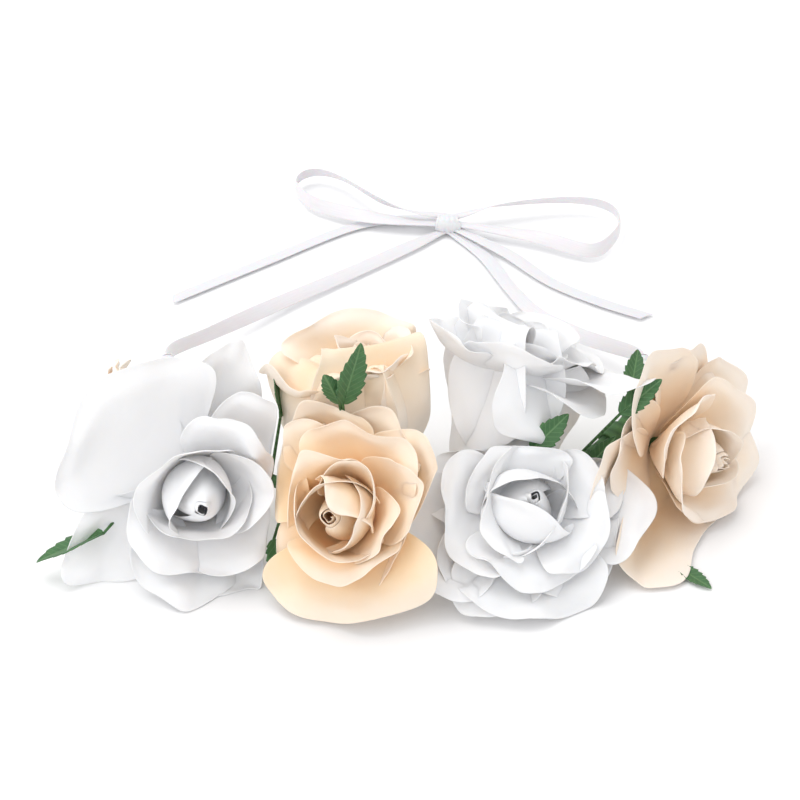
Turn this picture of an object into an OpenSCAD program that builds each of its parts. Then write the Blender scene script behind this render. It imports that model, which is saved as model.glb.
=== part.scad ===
// Flower crown: seven fabric roses and their leaves on a taped wire half ring,
// closed behind by two satin ribbons tied in a bow. Millimetres, +Z up.
// The crown lies on its lower petals at z = 0; the origin is the ring's centre.

/* [Band] */
// Radius of the wire half ring, to the middle of the wire
ring_r = 92; // [88:1:96]
// Height of the wire above the table
band_z = 16; // [15:0.5:18]
// Diameter of the wire
wire_d = 1.8; // [1.4:0.1:2.0]
// Thickness of the tape wrapped round the wire
tape_t = 1.3; // [1.0:0.1:1.4]
// Radius of the wire loop at each end of the band
eyelet_r = 4.5; // [4:0.1:5]

/* [Roses] */
// Size of every rose against its drawn size
rose_scale = 1; // [0.9:0.01:1]
// Thickness of one layer of petals
petal_t = 0.7; // [0.4:0.1:0.8]
// Diameter of the plastic pin that the petals are threaded on
pin_d = 2.4; // [2.0:0.1:2.6]
// Diameter of each rose's wire stem
stem_d = 2.2; // [1.8:0.1:2.4]

/* [Leaves] */
// Thickness of a leaf
leaf_t = 0.8; // [0.5:0.1:1]
// Width of a leaf against its length
leaf_ratio = 0.42; // [0.35:0.01:0.45]

/* [Ribbon] */
// Width of the ribbon
ribbon_w = 6; // [5:0.5:7]
// Thickness of the ribbon, with room for its ripples
ribbon_t = 0.8; // [0.6:0.1:1]
// Radius of the knot in the middle of the bow
knot_r = 4.2; // [4:0.1:4.5]

/* [Hidden] */
$fn = 48;
GAP = 0.3;      // running clearance at each rose's ball
SLACK = 0.05;   // clearance between pieces that only lie against each other
tape_r = wire_d / 2 + tape_t;
binding_r = tape_r + 1.1;
ball_r = stem_d / 2 + 0.6;
tie_ring_r = 2.4;
tie_wire_r = 0.6;
tie_knot_r = 2.7;
knot_l = 8;
knot_at = [18, 101, 4.4];
stem_bend = 5;   // from a rose's ball back to the bend in its wire
bead_in = 0.6;   // how far short of a bend's middle the two wires end, inside its bead of tape

// Where the ribbon swings: a line along X through the back of both end loops
swing_y = -14;
end_angle = asin((2 * eyelet_r - swing_y) / ring_r);
eyelet_x = ring_r * cos(end_angle);

// One rose a row: name, colour, angle of its binding round the band, where its ball sits,
// the azimuth and height it faces, and the radius of its outer petals
WHITE = "#f1f1f3";
PEACH = "#fbd9b8";
GREEN = "#3f6b3a";
ROSES = [
    ["rose_left_end",    PEACH, 205, [-96, -43, 17.3], 188, 12, 20],
    ["rose_left_white",  WHITE, 229, [-75, -84, 23.5], 264, 30, 34],
    ["rose_front_peach", PEACH, 264, [-16, -103, 24], 264, 36, 26],
    ["rose_front_white", WHITE, 293, [39, -97, 12], 285, 58, 33],
    ["rose_right_peach", PEACH, 324, [83, -60, 17.3], 322, 34, 33],
    ["rose_top_peach",   PEACH, 253, [-14, -73, 42], 98, 70, 25],
    ["rose_top_white",   WHITE, 302, [36, -64, 42], 68, 66, 27]
];
// What each rose is made of, from the band outwards
PIECES = ["stem", "calyx", "outer_petals", "middle_petals", "inner_petals", "heart"];

// One petal layer a row: share of the rose's radius for its rim, its rim's height and its foot's height
LAYERS = [[1.00, 0.55, 0.16], [0.78, 0.72, 0.20], [0.52, 0.88, 0.24]];
PETALS = 5;
petal_lobe_r = 0.6;   // radius of one petal's round end, as a share of its layer's radius
petal_lobe_at = 0.45; // how far out that round end's centre sits
heart_foot = 0.32;    // height of the rolled heart's foot, as a share of the rose's radius
heart_r = 0.26;       // radius of the rolled heart
pin_top = 0.40;       // height of the pin's end

// One blade a row: node, angle of its stalk round the band, blade's foot, blade's tip, twist
LEAVES = [
    ["leaf_far_left",    214, [-106, -100, 7], [-129, -107, 3], 0],
    ["leaf_top_fork",    258.5, [-21, -94.5, 62], [-15, -92.5, 84], 90],
    ["leaf_top_fork",    258.5, [-22, -94.5, 62], [-26, -95, 75], 90],
    ["leaf_back_left",   239, [-43, -80, 42], [-45, -66, 58], 60],
    ["leaf_centre",      306.4, [46, -73, 44], [57, -87, 59], 30],
    ["leaf_right_long",  308, [62, -80, 44], [75, -82, 58], 40],
    ["leaf_right_short", 313, [66, -64, 31], [63, -78, 37], 0],
    ["leaf_right_end",   334, [80, -40, 22], [85, -20, 30], 20],
    ["leaf_low_right",   318, [87, -101, 8], [102, -116, 3], 0],
    ["leaf_low_front",   244, [-45, -108, 14], [-41, -124, 5], 0]
];
LEAF_NODES = ["leaf_far_left", "leaf_top_fork", "leaf_back_left", "leaf_centre", "leaf_right_long",
    "leaf_right_short", "leaf_right_end", "leaf_low_right", "leaf_low_front"];

// Routes of the ribbon: x, y, z, lean of its width from flat in degrees, share of its full width
LEFT_RIBBON = [
    [[-89, -6.5, 15.5, 60, 0.6], [-88, 2, 13, 70, 0.9], [-75, 16, 10, 75, 1], [-50, 43, 5, 35, 1],
     [-22, 67, 3, 20, 1], [2, 87, 2.4, 10, 1], [14.5, 97.5, 2.2, 0, 0.6]],
    [[14.5, 103, 7, 0, 0.6], [2, 105, 8, 30, 1], [-11, 113, 8.5, 60, 1], [-26, 131, 7, 55, 1],
     [-41, 135, 6, 70, 1], [-44, 123, 5, 80, 1], [-35, 113, 5, 60, 1], [-12, 104, 5.2, 20, 1],
     [14.5, 100, 5.4, 0, 0.6]],
    [[14.5, 104.5, 3.8, 0, 0.6], [2, 108, 2.4, 0, 1], [-22, 103, 1.2, 5, 1], [-58, 77, 1.2, 5, 1],
     [-93, 51, 1.2, 5, 1]]
];
RIGHT_RIBBON = [
    [[89, -6.5, 15.5, -60, 0.6], [85, -1, 13, -60, 0.9], [68, 17, 8, -45, 1], [52, 37, 4, -20, 1],
     [42, 59, 1.8, 0, 1], [33, 81, 1.2, 0, 1], [21.5, 96, 1.6, 0, 0.6]],
    [[21.5, 103, 7, 0, 0.6], [38, 108, 8.5, -40, 1], [60, 113, 8, -55, 1], [78, 113, 7.5, -60, 1],
     [87, 104, 6.5, -75, 1], [85, 89, 5, -80, 1], [76, 80, 5, -60, 1], [54, 90, 5.2, -30, 1],
     [21.5, 100, 5.4, 0, 0.6]],
    [[21.5, 98.5, 3.8, 0, 0.6], [42, 82, 2.8, 0, 1], [59, 63, 1.2, -5, 1], [78, 49, 1.2, -5, 1],
     [96, 39, 1.2, -5, 1]]
];

// A point on the middle of the wire, at an angle round the ring
function on_band(angle) = [ring_r * cos(angle), ring_r * sin(angle), band_z];

// A smooth curve through a list of points: the point a share u past point i
function smooth(p, i, u) =
    let (a = p[max(i - 1, 0)], b = p[i], c = p[min(i + 1, len(p) - 1)], d = p[min(i + 2, len(p) - 1)])
    0.5 * (2 * b + (c - a) * u + (2 * a - 5 * b + 4 * c - d) * u * u + (3 * b - a - 3 * c + d) * u * u * u);
// The same route with one more point halfway along each stretch
function smoothed(p) = concat([for (i = [0:len(p) - 2], u = [0, 0.5]) smooth(p, i, u)], [p[len(p) - 1]]);

function xyz(row) = [row[0], row[1], row[2]];
function unit(v) = v / norm(v);

// Looks along a direction: children drawn up +Z point the way from a to b
module aim(from, to) {
    d = to - from;
    translate(from)
        rotate([0, acos(d.z / norm(d)), atan2(d.y, d.x)])
            children();
}

module rod(from, to, r) {
    aim(from, to) cylinder(h = norm(to - from), r = r);
}

// Follows the wire half ring with a round section from inner_r to outer_r
module along_band(from_angle, to_angle, inner_r, outer_r) {
    translate([0, 0, band_z])
        rotate([0, 0, from_angle])
            rotate_extrude(angle = to_angle - from_angle)
                translate([ring_r, 0])
                    difference() {
                        circle(r = outer_r);
                        if (inner_r > 0) circle(r = inner_r);
                    }
}

module torus(ring, r) {
    rotate_extrude() translate([ring, 0]) circle(r = r);
}

module band_wire() {
    color("#6b7a66") {
        along_band(180 + end_angle, 360 - end_angle, 0, wire_d / 2);
        for (side = [-1, 1])
            translate([side * eyelet_x, swing_y - eyelet_r, band_z]) torus(eyelet_r, wire_d / 2);
    }
}

module band_tape() {
    tape_end = end_angle + 2;
    color(GREEN) along_band(180 + tape_end, 360 - tape_end, wire_d / 2, tape_r);
}

module stem_bindings() {
    half = 2.8;
    color(GREEN)
        for (rose = ROSES) along_band(rose[2] - half, rose[2] + half, tape_r, binding_r);
}

// Where a rose's stem leaves its binding
function stem_foot(rose, bend) =
    let (foot = on_band(rose[2])) foot + (binding_r - 0.3) * unit(bend - foot);

// Which way a rose faces, from its azimuth and height
function facing(rose) = [cos(rose[4]) * cos(rose[5]), sin(rose[4]) * cos(rose[5]), sin(rose[5])];

// The wire leaves its binding straight, bends once in a bead of tape and ends in line with the head
module rose_stem(rose) {
    bend = rose[3] - stem_bend * facing(rose);
    foot = stem_foot(rose, bend);
    color(GREEN) {
        rod(foot, bend - bead_in * unit(bend - foot), stem_d / 2);
        rose_place(rose) {
            translate([0, 0, -stem_bend]) sphere(r = stem_d / 2 + 0.5);
            translate([0, 0, bead_in - stem_bend]) cylinder(h = stem_bend - bead_in, r = stem_d / 2);
            sphere(r = ball_r);
        }
    }
}

// Turns a rose's own frame, with its pin up +Z and its ball at the origin, to where it faces
module rose_place(rose) {
    translate(rose[3]) rotate([0, 90 - rose[5], rose[4]]) children();
}

module rose_calyx(rose, r) {
    socket = ball_r + GAP;
    cup_r = socket + 1;
    foot = LAYERS[0][2] * r - SLACK;
    color(GREEN) rose_place(rose) {
        difference() {
            rotate_extrude()
                polygon([[0, -0.6], [cup_r, -0.6], [cup_r + 0.6, 0.6 * foot], [cup_r + 1.4, foot],
                    [0, foot]]);
            sphere(r = socket);
            translate([0, 0, -2]) cylinder(h = 2, r1 = socket + 1, r2 = socket - 0.4);
        }
        translate([0, 0, socket + 0.4]) cylinder(h = pin_top * r - socket - 0.4, r = pin_d / 2);
    }
}

// A bowl's wall from the pin out to the rim: rises ever more steeply
function bowl_z(layer, r, x) =
    let (inner = pin_d / 2 + SLACK, u = (x - inner) / (layer[0] * r - inner))
    r * (layer[2] + (layer[1] - layer[2]) * pow(u, 1.5));

module petal_layer(rose, layer, r, turn) {
    rim = layer[0] * r;
    inner = pin_d / 2 + SLACK;
    xs = [for (i = [0:6]) inner + (rim - inner) * i / 6];
    color(rose[1]) rose_place(rose)
        intersection() {
            rotate_extrude()
                polygon(concat(
                    [for (x = xs) [x, bowl_z(layer, r, x)]],
                    [for (i = [6:-1:0]) [xs[i], bowl_z(layer, r, xs[i]) + petal_t]]));
            linear_extrude(height = 2 * r)
                for (i = [0:PETALS - 1])
                    rotate(turn + i * 360 / PETALS) translate([petal_lobe_at * rim, 0])
                        circle(r = petal_lobe_r * rim);
        }
}

module rose_heart(rose, r) {
    foot = heart_foot * r;
    color(rose[1]) rose_place(rose)
        difference() {
            rotate_extrude()
                polygon([[0, foot], [0.08 * r, foot], [0.18 * r, 0.44 * r], [heart_r * r, 0.64 * r],
                    [heart_r * r, 0.82 * r], [0.18 * r, 0.96 * r], [0, 0.98 * r]]);
            cylinder(h = pin_top * r + SLACK, r = pin_d / 2 + SLACK);
        }
}

module rose_piece(rose, piece) {
    r = rose[6] * rose_scale;
    if (piece == "stem") rose_stem(rose);
    if (piece == "calyx") rose_calyx(rose, r);
    if (piece == "outer_petals") petal_layer(rose, LAYERS[0], r, 0);
    if (piece == "middle_petals") petal_layer(rose, LAYERS[1], r, 36);
    if (piece == "inner_petals") petal_layer(rose, LAYERS[2], r, 12);
    if (piece == "heart") rose_heart(rose, r);
}

// A saw-toothed leaf outline, from its foot at the origin to its tip at +X
function leaf_half(length, side) =
    [for (i = [1:7]) let (u = i / 8, tooth = i % 2 == 0 ? 0.88 : 1)
        [length * u, side * tooth * length * leaf_ratio * 0.62 * pow(sin(180 * pow(u, 0.8)), 0.8)]];

module leaf_blade(row) {
    length = norm(row[3] - row[2]);
    lower = leaf_half(length, -1);
    upper = leaf_half(length, 1);
    aim(row[2], row[3]) rotate([0, -90, 0]) rotate([row[4], 0, 0])
        translate([0, 0, -leaf_t / 2])
            linear_extrude(height = leaf_t)
                polygon(concat([[0, 0]], lower, [[length, 0]], [for (i = [6:-1:0]) upper[i]]));
}

module leaf(name) {
    color(GREEN)
        for (row = LEAVES)
            if (row[0] == name) {
                foot = on_band(row[1]);
                leaf_blade(row);
                rod(foot + (tape_r - 0.2) * unit(row[2] - foot), row[2] + 0.1 * (row[3] - row[2]), 0.6);
            }
}

module eyelet_ties() {
    color(WHITE)
        for (side = [-1, 1])
            translate([side * eyelet_x, swing_y, band_z]) {
                rotate([0, 90, 0]) torus(tie_ring_r, tie_wire_r);
                translate([0, tie_ring_r + tie_knot_r, 0]) sphere(r = tie_knot_r);
            }
}

// One stretch of ribbon: an eight-sided flat section carried along its route
module ribbon_stretch(route) {
    p = smoothed(route);
    last = len(p) - 1;
    section = [[1, 0.3], [0.8, 1], [-0.8, 1], [-1, 0.3], [-1, -0.3], [-0.8, -1], [0.8, -1], [1, -0.3]];
    rings = [for (i = [0:last])
        let (ahead = unit(xyz(p[min(i + 1, last)]) - xyz(p[max(i - 1, 0)])),
            level = unit(cross([0, 0, 1], ahead)),
            up = cross(ahead, level),
            wide = cos(p[i][3]) * level + sin(p[i][3]) * up,
            thick = cross(ahead, wide))
        for (s = section)
            xyz(p[i]) + s[0] * ribbon_w / 2 * p[i][4] * wide + s[1] * ribbon_t / 2 * thick];
    polyhedron(
        points = rings,
        faces = concat(
            [[for (k = [0:7]) k]],
            [for (i = [0:last - 1], k = [0:7]) [8 * i + k, 8 * i + 8 + k, 8 * i + (k + 1) % 8]],
            [for (i = [0:last - 1], k = [0:7])
                [8 * i + (k + 1) % 8, 8 * i + 8 + k, 8 * i + 8 + (k + 1) % 8]],
            [[for (k = [7:-1:0]) 8 * last + k]]),
        convexity = 6);
}

module ribbon(stretches) {
    color(WHITE) for (route = stretches) ribbon_stretch(route);
}

module bow_knot() {
    color(WHITE) translate(knot_at) rotate([0, 90, 0])
        rotate_extrude()
            polygon([[0, -knot_l / 2], [knot_r - 1.2, -knot_l / 2], [knot_r - 0.3, -knot_l / 2 + 0.8],
                [knot_r, -knot_l / 4], [knot_r, knot_l / 4], [knot_r - 0.3, knot_l / 2 - 0.8],
                [knot_r - 1.2, knot_l / 2], [0, knot_l / 2]]);
}

band_wire();
band_tape();
stem_bindings();
for (rose = ROSES, piece = PIECES)
    rose_piece(rose, piece);
for (name = LEAF_NODES)
    leaf(name);
eyelet_ties();
ribbon(LEFT_RIBBON);  // ribbon_left
ribbon(RIGHT_RIBBON);  // ribbon_right
bow_knot();
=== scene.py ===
"""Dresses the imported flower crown: cloth roses, leaves and a tied satin ribbon on the fixed CAD frame."""

import logging
import math
from dataclasses import dataclass, field
from enum import Enum

import bpy
import numpy as np
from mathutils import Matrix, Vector, noise

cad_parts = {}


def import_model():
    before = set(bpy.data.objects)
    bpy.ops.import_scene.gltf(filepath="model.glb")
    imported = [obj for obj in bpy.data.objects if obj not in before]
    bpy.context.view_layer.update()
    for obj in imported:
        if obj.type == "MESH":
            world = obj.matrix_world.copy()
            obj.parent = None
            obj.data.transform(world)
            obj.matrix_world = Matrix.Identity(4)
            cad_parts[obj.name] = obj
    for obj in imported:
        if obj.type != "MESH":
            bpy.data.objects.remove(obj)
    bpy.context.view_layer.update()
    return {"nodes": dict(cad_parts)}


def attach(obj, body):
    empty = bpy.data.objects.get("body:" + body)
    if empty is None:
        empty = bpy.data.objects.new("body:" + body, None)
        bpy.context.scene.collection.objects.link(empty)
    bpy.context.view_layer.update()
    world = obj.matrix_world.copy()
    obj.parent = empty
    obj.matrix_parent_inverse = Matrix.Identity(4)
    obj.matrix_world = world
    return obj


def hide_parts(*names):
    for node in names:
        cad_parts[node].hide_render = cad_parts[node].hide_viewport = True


LOG = logging.getLogger("flower_crown")
MM = 0.001

Object = bpy.types.Object
Material = bpy.types.Material
Tree = bpy.types.NodeTree
Socket = bpy.types.NodeSocket

RING_R = 92.0  # middle of the band's wire
BAND_Z = 16.0
TAPE_R = 2.2
FLOOR_GAP = 0.5  # how far above the table the lowest cloth stays

PETAL_GRID = (22, 22)
HEART_GRID = (6, 96)
BLADE_GRID = (12, 56)
LEAN_LENGTH = 0.75  # fitted: how far a heart's lean lengthens its strip, to agree with its modelled area


# ---------------------------------------------------------------- shared helpers


def linear(code: str) -> tuple[float, float, float, float]:
    """Turns an sRGB hex colour such as #f0f0f2 into linear red, green, blue and alpha.

    Args:
        code: the colour, a hash and six hex digits.

    Returns:
        Linear red, green, blue and a full alpha.
    """
    parts = [int(code[i : i + 2], 16) / 255 for i in (1, 3, 5)]
    curve = [c / 12.92 if c <= 0.04045 else ((c + 0.055) / 1.055) ** 2.4 for c in parts]
    return (*curve, 1.0)


def add_node(tree: Tree, kind: str, settings: dict, links: dict | None = None) -> bpy.types.Node:
    """Adds one shader node.

    Args:
        tree: the material's node tree.
        kind: the node's type name.
        settings: property or input name (or input number) to value.
        links: input name or number to the output socket that feeds it.

    Returns:
        The new node.
    """
    made = tree.nodes.new(kind)
    for name, value in settings.items():
        if isinstance(name, int) or name in made.inputs:
            made.inputs[name].default_value = value
        else:
            setattr(made, name, value)
    for name, source in (links or {}).items():
        tree.links.new(source, made.inputs[name])
    return made


def new_material(name: str) -> tuple[Material, Tree, bpy.types.Node]:
    """Starts a material.

    Args:
        name: the material's name.

    Returns:
        The material, its node tree and its Principled shader.
    """
    made = bpy.data.materials.new(name)
    made.use_nodes = True
    tree = made.node_tree
    tree.nodes.clear()
    shader = add_node(tree, "ShaderNodeBsdfPrincipled", {})
    add_node(tree, "ShaderNodeOutputMaterial", {}, {"Surface": shader.outputs[0]})
    return made, tree, shader


def smooth(x: np.ndarray) -> np.ndarray:
    """Eases from 0 to 1 as x does."""
    t = np.clip(x, 0, 1)
    return t * t * (3 - 2 * t)


def deselect() -> None:
    """Deselects every object, so an operator acts only on what is picked after."""
    bpy.ops.object.select_all(action="DESELECT")


def pick(objects: list[Object]) -> None:
    """Selects these objects alone and makes the first one active.

    Args:
        objects: what to select.
    """
    deselect()
    for made in objects:
        made.select_set(True)
    bpy.context.view_layer.objects.active = objects[0]


def join(objects: list[Object], name: str) -> Object:
    """Joins objects into one named piece.

    Args:
        objects: what to join; the first one's place in the list is kept.
        name: the piece's name.

    Returns:
        The joined piece.
    """
    pick(objects)
    if len(objects) > 1:
        bpy.ops.object.join()
    made = bpy.context.view_layer.objects.active
    made.name = name
    made.data.name = name
    return made


def finish_cloth(made: Object, thickness: float, levels: int) -> None:
    """Gives a sheet its thickness, rounds it and shades it smooth.

    Args:
        made: a mesh of single faces.
        thickness: the cloth's thickness in millimetres.
        levels: how many times it is subdivided.
    """
    pick([made])
    wall = made.modifiers.new("thickness", "SOLIDIFY")
    wall.thickness = thickness * MM
    wall.offset = 0
    bpy.ops.object.modifier_apply(modifier=wall.name)
    if levels:
        soft = made.modifiers.new("round", "SUBSURF")
        soft.levels = levels
        soft.render_levels = levels
        bpy.ops.object.modifier_apply(modifier=soft.name)
    bpy.ops.object.shade_smooth()


def dress(made: Object, material: Material) -> None:
    """Gives an object one material in place of any it has."""
    made.data.materials.clear()
    made.data.materials.append(material)


def sew(parts: list[Object], name: str, material: Material, thickness: float, levels: int = 1) -> Object:
    """Joins shaped sheets into one finished piece of cloth.

    Args:
        parts: the sheets.
        name: the piece's name.
        material: its cloth.
        thickness: the cloth's thickness in millimetres.
        levels: how many times it is subdivided.

    Returns:
        The piece.
    """
    piece = join(parts, name)
    dress(piece, material)
    finish_cloth(piece, thickness, levels)
    return piece


def place(made: Object, body: str, slot: str, *nodes: str) -> None:
    """Rides a finished piece on its body.

    Args:
        made: the piece.
        body: the body that it moves with.
        slot: the name of its finish; not used.
        nodes: the CAD nodes that it stands for, which are hidden.
    """
    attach(made, body)
    if nodes:
        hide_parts(*nodes)
    LOG.info("%s rides %s, %d faces", made.name, body, len(made.data.polygons))


class GridStock:
    """Flat two-unit grids, each modelled once and copied for every sheet that is shaped from one."""

    def __init__(self) -> None:
        """Starts with no grids."""
        self.stock: dict[tuple[int, int], Object] = {}

    def copy(self, across: int, along: int) -> tuple[Object, np.ndarray]:
        """Copies a grid with its own mesh.

        Args:
            across: how many faces wide.
            along: how many faces long.

        Returns:
            The copy, and its points as (across, along) from -1 to 1.
        """
        key = (across, along)
        if key not in self.stock:
            deselect()
            bpy.ops.mesh.primitive_grid_add(x_subdivisions=across, y_subdivisions=along, size=2)
            self.stock[key] = bpy.context.object
            self.stock[key].data.uv_layers[0].name = "cut"
        made = self.stock[key].copy()
        made.data = self.stock[key].data.copy()
        bpy.context.scene.collection.objects.link(made)
        points = np.zeros(len(made.data.vertices) * 3)
        made.data.vertices.foreach_get("co", points)
        return made, points.reshape(-1, 3)[:, :2]

    def clear(self) -> None:
        """Removes the grids that the copies came from."""
        for made in self.stock.values():
            bpy.data.objects.remove(made)
        self.stock = {}


def lay(made: Object, points: np.ndarray, cut: np.ndarray, reach: np.ndarray) -> float:
    """Moves a grid's vertices to their places and records where each was in the flat cut.

    Args:
        made: a grid from the stock.
        points: each vertex's place in millimetres.
        cut: each vertex's place in the flat cut, across and along, in millimetres.
        reach: each vertex's share of the way from the foot to the rim.

    Returns:
        The area of the flat cut in square metres.
    """
    mesh = made.data
    mesh.vertices.foreach_set("co", (points * MM).ravel())
    loops = np.zeros(len(mesh.loops), np.int64)
    mesh.loops.foreach_get("vertex_index", loops)
    mesh.uv_layers["cut"].data.foreach_set("uv", (cut[loops] * MM).ravel())
    share = mesh.attributes.new("reach", "FLOAT", "POINT")
    share.data.foreach_set("value", reach.astype(np.float32))
    mesh.update()
    corners = cut[loops].reshape(-1, 4, 2) * MM
    a, b = corners[:, 2] - corners[:, 0], corners[:, 3] - corners[:, 1]
    return float(np.abs(a[:, 0] * b[:, 1] - a[:, 1] * b[:, 0]).sum() / 2)


def spread_route(points: list[tuple[float, ...]], steps: int) -> np.ndarray:
    """Runs a smooth curve through a list of points.

    Args:
        points: rows of numbers, the first three a place.
        steps: how many points the curve has in each stretch.

    Returns:
        One row for each point of the curve.
    """
    p = np.array(points, float)
    rows = []
    for i in range(len(p) - 1):
        a, b, c, d = p[max(i - 1, 0)], p[i], p[i + 1], p[min(i + 2, len(p) - 1)]
        for u in np.arange(steps) / steps:
            rows.append(
                0.5
                * (2 * b + (c - a) * u + (2 * a - 5 * b + 4 * c - d) * u**2 + (3 * b - a - 3 * c + d) * u**3)
            )
    rows.append(p[-1])
    return np.array(rows)


def noise_field(tree: Tree, size: float, where: Socket, **more: float) -> Socket:
    """Adds noise.

    Args:
        tree: the material's node tree.
        size: about how many millimetres across its blots are.
        where: the coordinates that it is drawn in.
        more: other inputs of the noise.

    Returns:
        The noise, from 0 to 1.
    """
    made = add_node(tree, "ShaderNodeTexNoise", {"Scale": 1 / (size * MM), **more}, {"Vector": where})
    return made.outputs["Fac"]


def maths(tree: Tree, operation: str, *values: float | Socket) -> Socket:
    """Adds one step of arithmetic.

    Args:
        tree: the material's node tree.
        operation: what it does.
        values: what it works on, in order, each a number or a socket.

    Returns:
        The result.
    """
    numbers = {i: v for i, v in enumerate(values) if isinstance(v, float)}
    sockets = {i: v for i, v in enumerate(values) if not isinstance(v, float)}
    return add_node(tree, "ShaderNodeMath", {"operation": operation, **numbers}, sockets).outputs[0]


def ramp(tree: Tree, value: Socket, settings: dict) -> Socket:
    """Adds a change of range.

    Args:
        tree: the material's node tree.
        value: what is changed.
        settings: the node's ends, from and to, and how it eases.

    Returns:
        The changed value.
    """
    return add_node(tree, "ShaderNodeMapRange", settings, {"Value": value}).outputs[0]


def mix(tree: Tree, low: str | Socket, high: str | Socket, share: Socket) -> Socket:
    """Mixes two colours.

    Args:
        tree: the material's node tree.
        low: the colour where share is 0, a hex code or a socket.
        high: the colour where share is 1, a hex code or a socket.
        share: how much of the second there is.

    Returns:
        The mixed colour.
    """
    ends = {6: low, 7: high}
    codes = {i: linear(end) for i, end in ends.items() if isinstance(end, str)}
    sockets = {i: end for i, end in ends.items() if not isinstance(end, str)}
    return add_node(tree, "ShaderNodeMix", {"data_type": "RGBA", **codes}, {0: share, **sockets}).outputs[2]


def relief(tree: Tree, height: Socket, strength: float, depth: float, *under: Socket) -> Socket:
    """Adds relief too fine to model.

    Args:
        tree: the material's node tree.
        height: its height, from 0 to 1.
        strength: how much of it shows.
        depth: how many millimetres deep it is.
        under: the coarser relief that it lies on, if any.

    Returns:
        The surface's normal.
    """
    links = {"Height": height} | {"Normal": normal for normal in under}
    return add_node(tree, "ShaderNodeBump", {"Strength": strength, "Distance": depth * MM}, links).outputs[0]


def finish(tree: Tree, shader: bpy.types.Node, values: dict, links: dict) -> None:
    """Sets a shader's even values and links those that vary.

    Args:
        tree: the material's node tree.
        shader: the Principled shader.
        values: input name to value.
        links: input name to socket.
    """
    for name, value in values.items():
        shader.inputs[name].default_value = value
    for name, source in links.items():
        tree.links.new(source, shader.inputs[name])


# ---------------------------------------------------------------- finishes


@dataclass(frozen=True)
class PetalCloth:
    """Dyed polyester petal cloth, heat-moulded: matt, finely woven, with a soft bloom at grazing angles."""

    name: str
    rim: str
    middle: str
    base: str
    thread: float = 0.4  # real threads are 0.15 mm apart, drawn coarser so that they show
    blotch: float = 6.0
    crease: float = 9.0

    def material(self) -> Material:
        """Makes the cloth, deepening in colour from rim to base."""
        made, tree, shader = new_material(self.name)
        reach = add_node(tree, "ShaderNodeAttribute", {"attribute_name": "reach"}).outputs["Fac"]
        cut = add_node(tree, "ShaderNodeUVMap", {"uv_map": "cut"}).outputs[0]
        uneven = maths(tree, "MULTIPLY_ADD", noise_field(tree, self.blotch, cut, Detail=3.0), 0.16, -0.08)
        depth = maths(tree, "ADD", reach, uneven)
        ease = {"interpolation_type": "SMOOTHSTEP"}
        inner = ramp(tree, depth, {**ease, "From Min": 0.12, "From Max": 0.55})
        outer = ramp(tree, depth, {**ease, "From Min": 0.45, "From Max": 0.98})
        colour = mix(tree, mix(tree, self.base, self.middle, inner), self.rim, outer)
        bands = {"Scale": 0.314 / (self.thread * MM)}  # a wave's own scale counts in turns, not in metres
        warp = add_node(tree, "ShaderNodeTexWave", bands, {"Vector": cut}).outputs["Fac"]
        across = {**bands, "bands_direction": "Y"}
        weft = add_node(tree, "ShaderNodeTexWave", across, {"Vector": cut}).outputs["Fac"]
        folds = noise_field(tree, self.crease, cut, Detail=2.0, Distortion=0.6)
        soft = relief(tree, folds, 0.35, 0.5)
        fine = relief(tree, maths(tree, "MULTIPLY", warp, weft), 0.22, 0.06, soft)
        values = {
            "Roughness": 0.8,
            "IOR": 1.46,
            "Sheen Weight": 0.2,
            "Sheen Roughness": 0.45,
            "Subsurface Weight": 0.3,
            "Subsurface Radius": (1.0, 0.85, 0.7),
            "Subsurface Scale": 0.8 * MM,
        }
        finish(tree, shader, values, {"Base Color": colour, "Normal": fine})
        return made


@dataclass(frozen=True)
class LeafCloth:
    """Printed polyester leaf cloth, stiffened: a slight gloss, a pale midrib and side veins pressed in."""

    name: str = "leaf_cloth_pressed_polyester"
    green: str = "#4d7f49"
    dark: str = "#2c5230"
    vein: str = "#7fa672"
    vein_gap: float = 1.1
    vein_slope: float = 1.1

    def material(self) -> Material:
        """Makes the leaf cloth, with its veins drawn along the cut."""
        made, tree, shader = new_material(self.name)
        cut = add_node(tree, "ShaderNodeUVMap", {"uv_map": "cut"}).outputs[0]
        across, along, _ = add_node(tree, "ShaderNodeSeparateXYZ", {}, {0: cut}).outputs
        side = maths(tree, "ABSOLUTE", across)
        slope = maths(tree, "MULTIPLY_ADD", side, -self.vein_slope, along)
        ribs = maths(tree, "PINGPONG", slope, self.vein_gap * MM)
        rib = ramp(tree, ribs, {"From Min": 0.28 * MM, "From Max": 0.0, "To Max": 0.6})
        midrib = ramp(tree, side, {"From Min": 0.45 * MM, "From Max": 0.1 * MM})
        veins = maths(tree, "MAXIMUM", rib, midrib)
        ground = mix(tree, self.dark, self.green, noise_field(tree, 3, cut, Detail=4.0))
        colour = mix(tree, ground, self.vein, maths(tree, "MULTIPLY", veins, 0.45))
        values = {
            "Roughness": 0.55,
            "Sheen Weight": 0.1,
            "Subsurface Weight": 0.1,
            "Subsurface Scale": 0.5 * MM,
        }
        finish(tree, shader, values, {"Base Color": colour, "Normal": relief(tree, veins, 0.5, 0.2)})
        return made


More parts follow.
